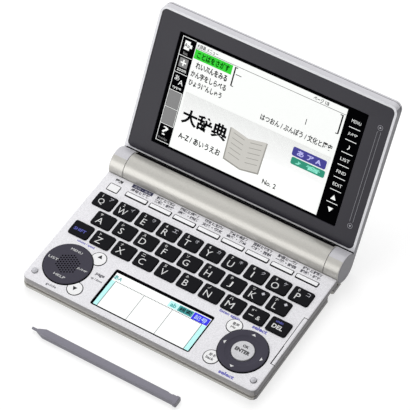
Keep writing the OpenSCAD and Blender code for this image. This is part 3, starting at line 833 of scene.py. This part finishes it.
def makePanel():
    panel, plate = keys["panel"], case["plate"]
    shape = Build()
    body = shape.mesh
    ridge = case["ridge"]
    profile = [(case["wall"], plate), (case["wall"], case["parting"]), (0.45, case["parting"]),
               (0.45, case["parting"] + 0.12), (0.12, case["parting"] + 0.3), (0.12, ridge - 0.25),
               (0.0, ridge - 0.1), (0.0, ridge + 0.1), (0.16, ridge + 0.3), (0.16, panel - case["edge"])]
    profile += [(0.16 + inset, z) for inset, z in edgeProfile(panel, case["edge"], 5)[1:]]
    outer = [[body.verts.new(point) for point in caseRing(inset, z)] for inset, z in profile]
    # outer walls below the top edge get the flank paint, painted shade
    for i, (low, high) in enumerate(zip(outer, outer[1:])):
        wallBetween(body, low, high, 1 if profile[i + 1][1] < panel - 0.3 else 0)
    tops, bottoms = [], []
    for outline, lip, finish in panelHoles():
        steps = ((0.0, plate), (0.0, panel - lip), (0.3 * lip, panel - 0.3 * lip), (lip, panel))
        rings = [[body.verts.new(point) for point in outline(grow, z)] for grow, z in steps]
        # the lower wall of every hole, and the lip of the holes other than the letter keys', take the hole
        # wall's painted shade
        for i, (low, high) in enumerate(zip(rings, rings[1:])):
            wallBetween(body, low, high, 2 if i == 0 else finish)
        bottoms.append(rings[0])
        tops.append(rings[-1])
    fillBetween(body, outer[-1], tops)
    fillBetween(body, outer[0], bottoms)
    made = shape.make("keyboardPanel", [panelPaint, flankShadePaint, holeWallShade, caseFlankShade])
    # walls facing left and right near the ends get the darker case flank paint, painted shade
    for face in made.data.polygons:
        if abs(face.normal.x) > 0.75 and abs(face.center.x) > case["flankFrom"] and face.material_index < 2:
            face.material_index = 3
    half = case["rearBlock"]
    rear = boxCutter((-half, 60), (half, 90), 0, plate - 0.02)
    keep = boxCutter((-half - 4, 0), (half + 4, case["rearWall"]), -1, plate + 1)  # spares the side walls
    channel = boxCutter(*case["channel"], shadowPlastic)
    notch = boxCutter(*case["notch"])
    plug, socket = case["socket"], Build()
    bore = circleRing(plug["radius"], 0, count=32)
    socket.stack([[Vector((x, plug["y"] + p.x, plug["z"] + p.y)) for p in bore] for x in plug["span"]])
    strip, slot = case["strip"], Build()  # outline of the cover strip along the right edge
    low, high = panel - 0.5, panel + 1
    slot.frameOf(corners(*strip["outer"]), corners(*strip["inner"]), low, high)
    nick = boxCutter(*strip["nick"], low, high, holeWallShade)  # wider front half of its inner line, darkened with painted shade
    carve(made, carve(rear, keep), channel, notch, socket.make("socket", []),
          slot.make("slot", [holeWallShade]), nick)
    settle(made, "base", "panel_paint", "top_case")


hingeAxis = Vector((0, *hinge["pos_m"][1:]))


# cuts the chosen faces along a plane, then paints those on one side of it
def paintBeyond(piece, edge, way, finish, chosen):
    shape = bmesh.new()
    shape.from_mesh(piece.data)
    faces = [face for face in shape.faces if chosen(face.calc_center_median())]
    around = {part for face in faces for part in (face, *face.edges, *face.verts)}
    bmesh.ops.bisect_plane(shape, geom=list(around), plane_co=edge, plane_no=way, dist=0.001 * mm)
    for face in shape.faces:
        centre = face.calc_center_median()
        if (centre - edge).dot(way) > 0 and chosen(centre):
            face.material_index = finish
    shape.to_mesh(piece.data)
    shape.free()


def makeCase():
    made = softened("bottom_case", "caseTray", 0.3, [casePaint, caseFlankShade])
    # walls facing left and right near the ends get the darker case flank paint, painted shade
    for face in made.data.polygons:
        if abs(face.normal.x) > 0.75 and abs(face.center.x) > case["flankFrom"] * mm:
            face.material_index = 1
    recess = barrel["recess"]  # recess along the barrel, below the open lid's edge, its walls dark with painted shade
    start, end = math.radians(recess["start"]), math.radians(recess["end"])
    sector = (arc(barrel["centre"], barrel["radius"] - recess["depth"], start, end, 10)
              + arc(barrel["centre"], barrel["radius"] + 1, end, start, 10))
    cutter = Build()
    ends = (-recess["halfLength"], recess["halfLength"])
    cutter.stack([[Vector((x, p.x, p.y)) for p in sector] for x in ends])
    groove = cutter.make("recess", [shadowPlastic])
    groove.data.transform(baseFrame)
    carve(made, groove)
    settle(made, "base", "champagne_plastic", "bottom_case", where=Matrix.Identity(4), angle=35)


# printed labels on the panel
labels = {"functions": (("英和", "英英"), ("和英", "類語"), ("国語", "漢字"), ("例文", "文法"),
                        ("発音", "会話"), ("百科", "地理"), ("辞書", "一覧"), ("設定", "記録")),
          "height": 2.1, "lines": (82.4, 79.95), "lift": 0.015,
          "others": [("電源", -64.4, 81.1, 2.3, 2, 5.0, 0.035),
                     ("volume / speed", -55.9, 35.3, 2.0, 4, 11.4, 0.025),
                     ("listen again", 36.6, 35.4, 2.3, 4, 12.6, 0.035),
                     ("select", 55.3, 35.6, 2.4, 4, 9.0, 0.04), ("select", 55.3, 2.4, 2.3, 4, 9.2, 0.04),
                     ("guide", -56.2, 2.7, 1.9, 0, 6.4, 0.01), ("page", -37.2, 21.6, 2.1, 0, 5.4, 0.025),
                     ("up / down", -37.2, 18.2, 1.9, 0, 6.8, 0.02)]}


def makeLabels():
    ink = Build()
    z = keys["panel"] + labels["lift"]
    for i, (first, second) in enumerate(labels["functions"]):
        x = keys["slimStart"][0] + i * keys["slimPitch"]
        upper, lower = labels["lines"]
        if i == 0:
            ink.bar((x - 6.8, upper - 1.15), (x + 6.6, upper + 1.35), z, 1)
            ink.text(first + "・" + second, (x, upper), 1.4, z + 0.02, 3, width=11.0, weight=-0.01)
            ink.text("成句と" + second, (x, lower), 2.1, z, 0, width=12.0, weight=0.05)
        else:
            height = labels["height"]
            ink.text(first + "と" + second + "/", (x - 0.4, upper), height, z, 0, width=11.8, weight=0.05)
            ink.text(second + "・" + first, (x, lower), height, z, 0, width=12.8, weight=0.05)
    ink.legends(labels["others"], (0, 0), z)
    made = ink.make("panelLabels", [greyInk, navyInk, darkInk, paleInk, violetInk])
    settle(made, "base", "panel_paint")


makePanel()
makeCase()
makeLabels()
print("panel and case ready")

# small touch screen in the base
pad = {"low": (-31.45, 4.3), "high": (30.45, 29.7), "top": 9.3, "bottom": 6.8,
       "lit": ((-30.4, 4.75), (30.0, 28.3))}


def makeTouchScreen():
    black = litScreen("pad border", shade(8, 8, 10), glow=0.0)
    white = litScreen("pad white", shade(246, 248, 247))
    aqua = litScreen("pad aqua", shade(186, 240, 238))
    grey = litScreen("pad rule", shade(70, 78, 80))
    rule = litScreen("pad dots", shade(24, 28, 30), glow=0.0)
    teal = litScreen("pad teal", shade(70, 160, 160))
    blue = litScreen("pad blue", shade(52, 52, 226))
    pale = litScreen("pad pale text", shade(214, 236, 240))
    screen = Build()
    (x0, y0), (x1, y1) = pad["low"], pad["high"]
    centre, size = ((x0 + x1) / 2, (y0 + y1) / 2), (x1 - x0, y1 - y0)
    top = pad["top"]
    rings = [roundedRing(size[0] - 2 * inset, size[1] - 2 * inset, 0.8 - inset, z, centre)
             for inset, z in [(0, pad["bottom"])] + edgeProfile(top, 0.2, 3)]
    screen.stack(rings)
    z = top + 0.01
    (left, front), (right, back) = pad["lit"]
    screen.bar((left, front), (right, back), z, 1)
    screen.bar((left, front), (-27.9, 22.8), z + 0.01, 2)
    screen.bar((27.2, front), (right, 22.8), z + 0.01, 2)
    for x in (-27.8, 27.1):
        screen.bar((x - 0.17, front), (x + 0.17, 22.8), z + 0.02, 3)
    for x in (-9.4, 8.6):
        screen.bar((x - 0.13, front), (x + 0.13, 22.6), z + 0.02, 3)
    screen.text("あA", (-27.8, 25.4), 2.8, z + 0.02, 4, weight=0.03)
    screen.bar((4.6, 23.6), (10.4, 27.6), z + 0.02, 2)
    screen.text("ab", (7.5, 25.6), 2.8, z + 0.03, 4, weight=0.03)
    screen.bar((10.6, 23.6), (19.6, 27.6), z + 0.02, 4)
    screen.text("検索", (15.1, 25.6), 3.0, z + 0.03, 7, width=7.6, weight=0.02)
    screen.bar((19.8, 23.1), (29.8, 27.8), z + 0.02, 5)
    screen.text("記号", (24.8, 25.4), 2.8, z + 0.03, 6, width=7.4)
    made = screen.make("touchScreen", [black, white, aqua, grey, teal, blue, pale, rule])
    settle(made, "base", "screen", "front_display")
    dot = Build()
    dot.slab(circleRing(0.3, 0, count=8), -0.02, 0)
    dots = copies("touchScreenRule", dot.make("dot", []),
                  [(-27.4 + 0.9 * i, 22.95, z + 0.02) for i in range(61)], rule)
    settle(dots, "base", "screen")


makeTouchScreen()
print("touch screen ready")

# lid: lengths in millimetres of its own frame, y away from the hinge and z towards the keyboard
lid = {"face": -4.3, "bezelLow": 9.4, "bezelHigh": 93.0, "bezelWidth": 145.0, "bezelCorner": 3.0,
       "windowSize": (118.0, 66.5), "windowY": 50.85, "glass": -4.7, "rimLow": -4.5, "rimHigh": -3.9,
       "capSeam": {"across": (64.9, 74.5), "along": (7.8, 8.1), "depth": (-4.35, -3.5)},
       "lowRim": {"below": 8.7, "halfWidth": 64.6, "depth": (-7.7, -4.0)},
       "seam": {"z": -8.3, "width": 0.3, "halfWidth": 73.75, "low": 12.0, "high": 95.35, "corner": 4.4}}


def makeLidShell():
    made = softened("lid_back_cover", "lidShell", 0.45,
                    [lidPaint, lidFlankShade, lidRimHighlight, casePaint, shadowPlastic])
    outward = (lidFrame.to_3x3() @ Vector((0, 0, 1))).normalized()
    for face in made.data.polygons:
        height = (lidFrame.inverted() @ face.center).z
        # the lid's left and right sides get the darker lid flank paint, painted shade
        if abs(face.normal.x) > 0.75:
            face.material_index = 1
        # the rim's front faces get the brighter lid rim paint, a painted highlight
        elif face.normal.dot(outward) > 0.9 and lid["rimLow"] < height < lid["rimHigh"]:
            face.material_index = 2

    def onCap(centre):
        cap = barrel["cap"]
        near = (centre - hingeAxis).yz.length < cap["reach"] * mm
        return near and cap["from"] * mm < abs(centre.x) < cap["to"] * mm
    turn = math.radians(barrel["capColour"])
    paintBeyond(made, hingeAxis, Vector((0, -math.sin(turn), math.cos(turn))), 3, onCap)
    upLid = (lidFrame.to_3x3() @ Vector((0, 1, 0))).normalized()

    # the lid's lower rim between the caps is painted near black, painted shade of the gap above the barrel
    rim = lid["lowRim"]

    def onLowRim(centre):
        deep, shallow = rim["depth"]
        return abs(centre.x) < rim["halfWidth"] * mm and deep < (lidFrame.inverted() @ centre).z < shallow
    paintBeyond(made, lidFrame @ Vector((0, rim["below"], 0)), -upLid, 4, onLowRim)
    seam = lid["seam"]  # where the frame round the screen meets the back
    half, high, radius = seam["halfWidth"], seam["high"], seam["corner"]
    inner = (arc((half - radius, high - radius), radius, 0, math.pi / 2, 8)
             + arc((radius - half, high - radius), radius, math.pi / 2, math.pi, 8))
    cutter = Build()
    low, past = seam["low"], half + 2
    around = [(-half, low), (-past, low), (-past, high + 3), (past, high + 3), (past, low), (half, low)]
    cutter.slab(around + inner, seam["z"], seam["z"] + seam["width"])
    cap = lid["capSeam"]
    for side in (-1, 1):  # thin groove between each end cap and the rim
        left, right = sorted(side * x for x in cap["across"])
        cutter.slab(corners((left, cap["along"][0]), (right, cap["along"][1])), *cap["depth"])
    # the grooves' walls are near black, painted shade in the seams
    groove = cutter.make("seam", [holeWallShade])
    groove.data.transform(lidFrame)
    carve(made, groove)
    settle(made, "lid", "lid_paint", "lid_back_cover", where=Matrix.Identity(4), angle=35)


def makeBezel():
    bezel = Build()
    face, low, high = lid["face"], lid["bezelLow"] + 0.1, lid["bezelHigh"] - 0.1
    centre = (0, (low + high) / 2)
    width, depth, radius = lid["bezelWidth"], high - low, lid["bezelCorner"]
    outside = [roundedRing(width - 2 * i, depth - 2 * i, radius - i, z, centre, 10)
               for i, z in [(0, face - 1.2)] + edgeProfile(face, 0.3, 3)]
    windowWidth, windowDepth = lid["windowSize"]
    inside = [roundedRing(windowWidth + 2 * i, windowDepth + 2 * i, 0.5 + i, z, (0, lid["windowY"]), 10)
              for i, z in [(0.35, face), (0.12, face - 0.12), (0.0, face - 0.4), (0.0, face - 1.2)]]
    bezel.stack(outside + inside, joined=True)
    z = face + 0.015
    x, low, high = 67.3, lid["bezelLow"] + 12.4, lid["bezelLow"] + 72.4
    middle = (x, (low + high - 1.6) / 2)
    loop = [roundedRing(2.2 - 2 * i, high - 5.4 - low, 1.05 - i, 0, middle, 6) for i in (0, 0.22)]
    bezel.frameOf(loop[0], loop[1], z - 0.02, z, 1)
    for y, tip in ((high - 1.6, 0.75), (low, -0.75)):  # a ring with an arrowhead at each end
        knob = [circleRing(radius, 0, (x, y), 24) for radius in (1.55, 1.28)]
        bezel.frameOf(knob[0], knob[1], z - 0.02, z, 1)
        bezel.slab([(x - 0.7, y - tip / 2), (x + 0.7, y - tip / 2), (x, y + tip)], z - 0.02, z, 2)
    made = bezel.make("lidBezel", [bezelPlastic, printedInk("slider ink", shade(165, 165, 172)), paleInk])
    settle(made, "lid", "bezel", "lid_bezel", where=lidFrame)


def makeMainScreen():
    def lit(name, colour, **more):
        return litScreen("main " + name, colour, tilt=lidLean, **more)
    lidUp = Vector((0, math.cos(lidLean), math.sin(lidLean)))
    bannerHeights = [(lidFrame @ Vector((0, lid["bezelLow"] + h, lid["glass"]))).dot(lidUp) for h in (24, 45)]
    finishes = [lit("black", shade(6, 6, 8), glow=0.0), lit("white", shade(247, 249, 247)),
                lit("text", shade(14, 14, 16), glow=0.0), lit("green", shade(24, 206, 24)),
                lit("cell grey", shade(128, 128, 128)), lit("rule grey", shade(150, 150, 150)),
                lit("banner", shade(222, 223, 222), fade=bannerHeights), lit("book", shade(198, 196, 190)),
                lit("book shade", shade(150, 148, 142)), lit("indigo", shade(52, 48, 140)),
                lit("lilac", shade(186, 184, 240)), lit("teal", shade(20, 140, 112)),
                lit("mint", shade(140, 232, 208)),
                lit("dark green text", shade(10, 84, 10), glow=0.0)]
    black, white, ink, green, cell, rule, banner, book, shadow, indigo, lilac, teal, mint, leaf = range(14)
    screen = Build()
    middle = (0, lid["windowY"])
    width, depth = (side - 0.2 for side in lid["windowSize"])
    glass, low = lid["glass"], lid["bezelLow"]
    screen.stack([roundedRing(width - 2 * i, depth - 2 * i, 0.4, z, middle) for i, z in
                  ((-1.6, -8.2), (-1.6, -5.6), (0, -5.6), (0, glass))])
    first, second, third = glass + 0.01, glass + 0.025, glass + 0.04

    def bar(x0, h0, x1, h1, finish, z=first):
        screen.bar((x0, low + h0), (x1, low + h1), z, finish, depth=0.03)

    def words(text, x, h, height, finish=ink, wide=None, weight=0.0, z=second):
        screen.text(text, (x, low + h), height, z, finish, width=wide, weight=weight)

    cells = [73.0, 62.1, 52.0, 41.2, 31.0, 20.8, 10.4]
    bar(-56.9, 10.2, -56.6, 73.2, white)
    for h in cells:
        bar(-56.9, h - 0.15, -48.4, h + 0.15, white)
    bar(-48.6, 20.8, -48.3, 41.2, white)
    for upper, lower in zip(cells[3:5], cells[4:6]):
        bar(-56.4, lower + 0.3, -48.7, upper - 0.3, cell)
    bar(-54.8, 66.0, -51.4, 71.2, white)
    bar(-51.6, 67.6, -50.0, 69.6, white)
    words("Aa", -53.1, 68.6, 2.2, black, weight=0.01)
    words("list", -52.9, 63.9, 1.7, rule)
    bar(-55.2, 55.6, -49.9, 61.0, cell)
    words("+", -52.6, 58.4, 3.6, white, weight=0.02)
    words("zoom", -52.6, 53.9, 1.5, white, wide=5.6)
    words("あ", -53.9, 49.0, 3.0, white)
    words("A", -51.0, 47.0, 3.0, white)
    words("type", -52.6, 43.2, 1.7, white, wide=5.6)
    words("?", -52.6, 17.0, 5.2, white, wide=3.6, weight=0.0)
    words("help", -52.8, 12.2, 1.7, cell, wide=5.6)
    bar(-47.9, 9.6, 46.9, 72.9, white)
    words("大辞典 メニュー", -40.6, 71.0, 2.5, ink, wide=13.5, weight=0.015)
    words("ページ 1/8", 31.0, 71.1, 2.5, ink, wide=9.5, weight=0.02)
    bar(-47.6, 69.2, 46.6, 69.55, cell, second)
    bar(-47.6, 63.4, -23.6, 68.9, green, second)
    words("ことばをさがす", -35.6, 66.2, 3.9, leaf, wide=20.6, weight=0.035, z=third)
    words("れいぶんをみる", -35.0, 60.3, 3.9, wide=20.0, weight=0.035)
    words("かん字をしらべる", -35.4, 55.0, 3.9, wide=22.5, weight=0.03)
    words("ひょうげんしゅう", -36.0, 49.8, 3.7, wide=21.0, weight=0.035)
    for x, sign in ((-21.9, 1), (45.2, -1)):
        bar(x - 0.42, 57.6, x + 0.42, 68.7, ink, second)
        for h in (57.6, 68.4):
            bar(min(x, x + sign * 1.5), h - 0.2, max(x, x + sign * 1.5), h + 0.32, ink, second)
    bar(-20.8, 64.6, -17.2, 65.0, ink, second)
    bar(25.8, 54.8, 26.2, 58.2, ink, second)
    words("はつおん / ぶんぽう / 文化と歴史", 22.4, 48.6, 3.9, wide=45.0, weight=0.025)
    bar(-46.6, 10.2, 45.6, 43.8, banner)
    words("大辞典", -30.6, 30.4, 9.2, wide=29.0, weight=0.035)
    words("A–Z / あいうえお", -30.6, 18.6, 4.0, wide=27.0, weight=0.03)
    words("No. 2", 15.6, 14.4, 3.0, wide=8.6, weight=0.02)
    for side in (-1, 1):  # an open book, two pages beside its fold
        page = [(0, 15.4), (side * 10.6, 17.4), (side * 11.2, 35.8), (0, 33.6)]
        edge = [(0, 14.6), (side * 11.4, 16.6), (side * 11.9, 35.6), (0, 33.0)]
        for outline, finish, z in ((edge, shadow, second), (page, book, third)):
            corners = [(x - 3.4, low + h) for x, h in outline]
            screen.slab(corners if side > 0 else corners[::-1], z - 0.03, z, finish)
        for i in range(5):
            h = 31.6 - 3.0 * i
            start, end = (side * 1.8 - 3.4, low + h + 0.3), (side * 9.2 - 3.4, low + h + 1.7)
            screen.line(start, end, 0.35, third + 0.01, shadow)
    badges = ((33.75, 38.2, 5.2, indigo, lilac, "あ ア A"), (34.35, 32.9, 4.2, teal, mint, "♪ 音"))
    for x, centre, depth, field, glyph, label in badges:
        screen.slab(roundedRing(20.9, depth, 1.0, 0, (x, low + centre)), second - 0.03, second, field)
        words(label, x, centre, 0.62 * depth, glyph, wide=15.0, weight=0.03, z=third)
    for i in range(7):
        bar(50.1, 64.1 - 7.38 * i, 56.9, 64.45 - 7.38 * i, white)
    for i, label in enumerate(("MENU", "JUMP", "♪", "LIST", "FIND", "EDIT", "▲", "▼")):
        wide = 5.6 if len(label) > 1 else None
        words(label, 53.5, 68.0 - 7.45 * i, 1.8 if wide else 2.8, white, wide=wide, weight=-0.005)
    settle(screen.make("mainScreen", finishes), "lid", "screen", "main_display", where=lidFrame)


makeLidShell()
makeBezel()
makeMainScreen()
print("lid ready")

# stylus, from its tip along x
pen = {"start": -52.6, "y": -21.2, "length": 92.8, "width": 5.0, "height": 4.0, "nib": 3.5, "shoulder": 4.5,
       "head": 2.0, "headWidth": 5.8, "round": 1.2}


def makeStylus():
    stylus = Build()
    middle = pen["height"] / 2
    nib, bend = pen["nib"], pen["round"]
    shoulder = nib + pen["shoulder"]
    neck = pen["length"] - pen["head"]
    sections = [(0.0, 1.0, 1.0, 0.5), (0.25, 1.5, 1.5, 0.74), (nib, 1.7, 1.7, 0.84), (nib, 2.0, 2.0, 0.99),
                (nib + 0.4, 2.4, 2.3, 1.0), (shoulder - 0.3, 4.85, 3.85, 1.15),
                (shoulder + 0.3, pen["width"], pen["height"], bend),
                (neck - 0.15, pen["width"], pen["height"], bend),
                (neck + 0.05, pen["headWidth"] - 0.3, pen["height"] - 0.1, bend),
                (neck + 0.25, pen["headWidth"], pen["height"], bend),
                (pen["length"] - 0.3, pen["headWidth"], pen["height"], bend),
                (pen["length"], pen["headWidth"] - 0.6, pen["height"] - 0.6, bend - 0.3)]
    rings = [[Vector((pen["start"] + x, pen["y"] + p.x, middle + p.y)) for p in roundedRing(w, h, r, 0)]
             for x, w, h, r in sections]
    stylus.stack(rings)
    made = stylus.make("stylusPen", [penPlastic])
    back = pen["y"] + pen["width"] / 2
    x = pen["start"] + pen["length"] - pen["head"] - 5
    notch = boxCutter((x, back - 0.8), (x + 2.6, back + 2), -1, 5)
    x = pen["start"] + pen["nib"] + pen["shoulder"] + 4
    slit = boxCutter((x, back - 0.6), (x + 8, back + 2), middle - 0.5, middle + 0.5)
    carve(made, notch, slit)
    settle(made, "stylus", "stylus", "stylus")


makeStylus()
print("stylus ready")

# underside and inner pieces
under = {"feet": ((-60, 8), (60, 8), (-58, 85.25), (58, 85.25)), "footRadius": 3.5, "footTop": 1.05,
         "posts": ((-67.3, 53.05), (67.3, 53.05), (-35.8, 14), (34.6, 14), (-30, 72.35)), "screwLow": 0.8}


def makePads():
    foot = Build()
    wide = under["footRadius"]
    rounded = [(wide - 0.5, 0.0), (wide - 0.15, 0.12), (wide, 0.45), (wide, under["footTop"])]
    foot.stack([circleRing(radius, z, count=40) for radius, z in rounded])
    feet = copies("rubberFeet", foot.make("foot", []), [(x, y, 0) for x, y in under["feet"]], padRubber)
    settle(feet, "base", "rubber", "rubber_pads")
    bumper = Build()
    profile = [(1.65, 8.95), (1.65, 10.3), (1.5, 10.5), (1.2, 10.55), (1.15, 10.42), (1.08, 10.5),
               (0.8, 10.74), (0.35, 10.88)]
    bumper.stack([circleRing(radius, z, count=32) for radius, z in profile])
    spots = [(x, y, 0) for x, y in case["bumpers"]]
    bumpers = copies("lidBumpers", bumper.make("bumper", []), spots, bumperRubber)
    settle(bumpers, "base", "rubber")


def makeScrews():
    screw = Build()
    low = under["screwLow"]
    head = [(1.5, low), (1.72, low + 0.12), (1.8, low + 0.4), (1.8, low + 1.1), (1.7, low + 1.2),
            (0.85, low + 1.2), (0.85, low + 7.0)]
    screw.stack([circleRing(radius, z, count=28) for radius, z in head])
    made = screw.make("screw", [])
    recesses = []
    for turn in (0, math.pi / 2):
        arm = boxCutter((-1.05, -0.24), (1.05, 0.24), low - 1, low + 0.7)
        arm.data.transform(Matrix.Rotation(turn, 4, "Z"))
        recesses.append(arm)
    carve(made, *recesses)
    screws = copies("caseScrews", made, [(x, y, 0) for x, y in under["posts"]], steel)
    settle(screws, "base", "steel", "case_screws")


def makeBatteryCover():
    made = softened("battery_cover", "batteryCover", 0.2, [casePaint])
    settle(made, "battery_cover", "champagne_plastic", "battery_cover", where=Matrix.Identity(4), angle=35)


def coatInnerNodes():
    sleeve = Finish("cell sleeve", {"Roughness": 0.3, "Coat Weight": 0.4})
    bands = sleeve.math("FRACT", (sleeve.along((1, 0, 0)) + 0.0503) * (1 / 0.0493))
    sleeveMaterial = sleeve.set({"Base Color": sleeve.node("ValToRGB", {"stops": [
        (0.0, shade(60, 64, 70)), (0.7, shade(72, 76, 84)), (0.705, shade(196, 150, 90)),
        (0.95, shade(186, 140, 84)), (0.955, shade(170, 172, 176))]}, {"Fac": bands}),
        "Metallic": 0.35 + 0.2 * sleeve.noise(300)})
    board = Finish("solder mask", {"Coat Weight": 0.5, "Coat Roughness": 0.2, "Roughness": 0.45})
    traces = board.node("TexBrick", None, {"Vector": board.place(), "Scale": 260, "Color1": shade(28, 92, 50),
                                           "Color2": shade(34, 104, 58), "Mortar": shade(70, 130, 70),
                                           "Mortar Size": 0.03})
    chip = board.along((0, 0, 1)) < 5.65 * mm
    boardMaterial = board.set({"Base Color": board.mix(chip, traces, shade(32, 32, 34))})
    silicone = mouldedPlastic("silicone mat", shade(92, 98, 104), 0.6)
    cone = mouldedPlastic("speaker frame", shade(48, 48, 52), 0.5)
    for node, material in {"batteries": sleeveMaterial, "circuit_board": boardMaterial, "key_mat": silicone,
                           "speaker": cone, "hinge_shafts": steel}.items():
        piece = frame["nodes"][node]
        piece.data.materials.clear()
        piece.data.materials.append(material)


makePads()
makeScrews()
makeBatteryCover()
coatInnerNodes()
print("underside and inside ready")
